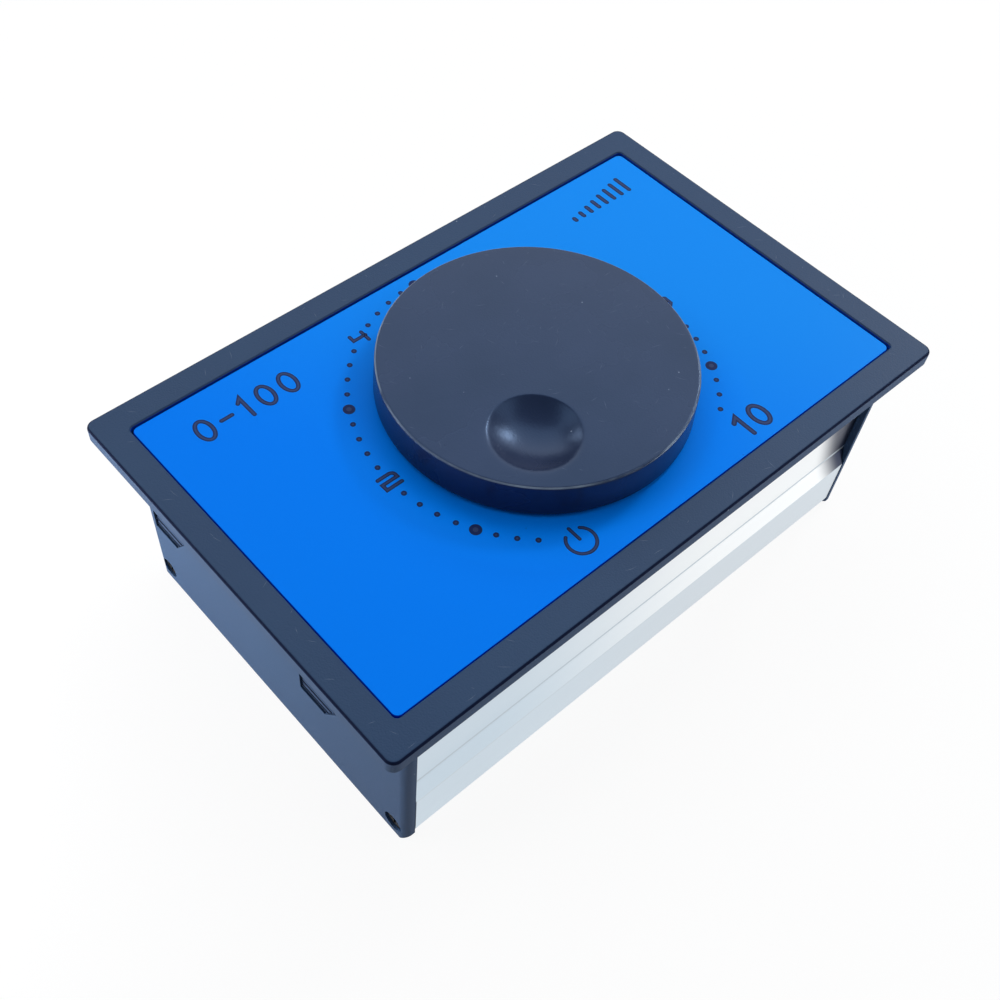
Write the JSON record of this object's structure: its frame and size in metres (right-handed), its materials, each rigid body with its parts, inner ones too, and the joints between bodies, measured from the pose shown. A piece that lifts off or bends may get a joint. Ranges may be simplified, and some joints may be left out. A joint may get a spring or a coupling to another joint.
{
  "type": "dc motor speed controller",
  "caption": "Panel-mounted motor speed controller: wide black bezel, blue dial face, large flat knob with finger dimple, aluminium channel body, screw terminals at the back.",
  "frame": {"origin": "under the middle of the flange, on the lower edges of the end walls", "axes": "+X along the long side towards the terminal block's end, +Y towards the face's upper long side, +Z out of the face"},
  "size_m": [0.115, 0.073, 0.0462],
  "materials": {
    "bezel_plastic": "fine grained, satin",
    "face_film": "glossy blue with a printed dial",
    "aluminium_profile": "satin anodised",
    "black_steel": "black oxide",
    "knob_plastic": "fine grained, satin",
    "plated_steel": "bright plated",
    "zinc_casting": "die cast",
    "tinned_can": "drawn",
    "brown_laminate": "pressed laminate",
    "spring_brass": "stamped",
    "tinned_brass": "tinned",
    "red_moulding": "moulded",
    "circuit_board": "green lacquer on glass laminate",
    "header_plastic": "moulded with metal pins",
    "brass_bar": "turned",
    "capacitor_sleeve": "shrink sleeve with a bare metal top",
    "package_epoxy": "moulded epoxy with tinned metal",
    "pad_rubber": "smooth",
    "film_case": "dipped",
    "resistor_coat": "lacquered with colour bands",
    "block_plastic": "moulded"
  },
  "bodies": {
    "housing": {"bezel": "bezel_plastic", "face_plate": "face_film", "channel": "aluminium_profile", "case_screws": "black_steel", "pot_bushing_plate": "zinc_casting", "pot_washer": "plated_steel", "pot_nut": "plated_steel", "pot_can": "tinned_can", "resistive_track": "brown_laminate", "pot_lugs": "tinned_brass", "switch_case": "red_moulding", "switch_fixed_contacts": "spring_brass", "pot_board": "circuit_board", "pin_header": "header_plastic", "main_board": "circuit_board", "standoffs": "brass_bar", "board_screws": "plated_steel", "back_screws": "plated_steel", "reservoir_capacitors": "capacitor_sleeve", "power_transistors": "package_epoxy", "flyback_diodes": "package_epoxy", "insulating_pads": "pad_rubber", "transistor_screws": "plated_steel", "control_chip": "package_epoxy", "regulator": "package_epoxy", "small_capacitors": "capacitor_sleeve", "film_capacitors": "film_case", "resistors": "resistor_coat", "terminal_block": "block_plastic", "terminal_plates": "tinned_brass"},
    "dial_knob": {"knob": "knob_plastic", "pot_shaft": "plated_steel", "pot_rotor": "brown_laminate", "wiper": "spring_brass"},
    "switch_arm": {"switch_contact_arm": "spring_brass"},
    "clamp_screw_1": {"terminal_screw_1": "plated_steel"},
    "clamp_screw_2": {"terminal_screw_2": "plated_steel"},
    "clamp_screw_3": {"terminal_screw_3": "plated_steel"},
    "clamp_screw_4": {"terminal_screw_4": "plated_steel"}
  },
  "joints": [
    {"name": "knob_turn", "type": "hinge", "parent": "housing", "child": "dial_knob", "pos_m": [0.0009, -0.0007, 0.0402], "axis": [0, 0, -1], "range_deg": [-15, 285]},
    {"name": "switch_arm_swing", "type": "hinge", "parent": "housing", "child": "switch_arm", "pos_m": [-0.0033, -0.0007, 0.0224], "axis": [0, 0, -1], "range_deg": [0, 26]},
    {"name": "clamp_screw_1_travel", "type": "slide", "parent": "housing", "child": "clamp_screw_1", "axis": [0, 0, -1], "range_m": [0, 0.0022]},
    {"name": "clamp_screw_2_travel", "type": "slide", "parent": "housing", "child": "clamp_screw_2", "axis": [0, 0, -1], "range_m": [0, 0.0022]},
    {"name": "clamp_screw_3_travel", "type": "slide", "parent": "housing", "child": "clamp_screw_3", "axis": [0, 0, -1], "range_m": [0, 0.0022]},
    {"name": "clamp_screw_4_travel", "type": "slide", "parent": "housing", "child": "clamp_screw_4", "axis": [0, 0, -1], "range_m": [0, 0.0022]}
  ]
}
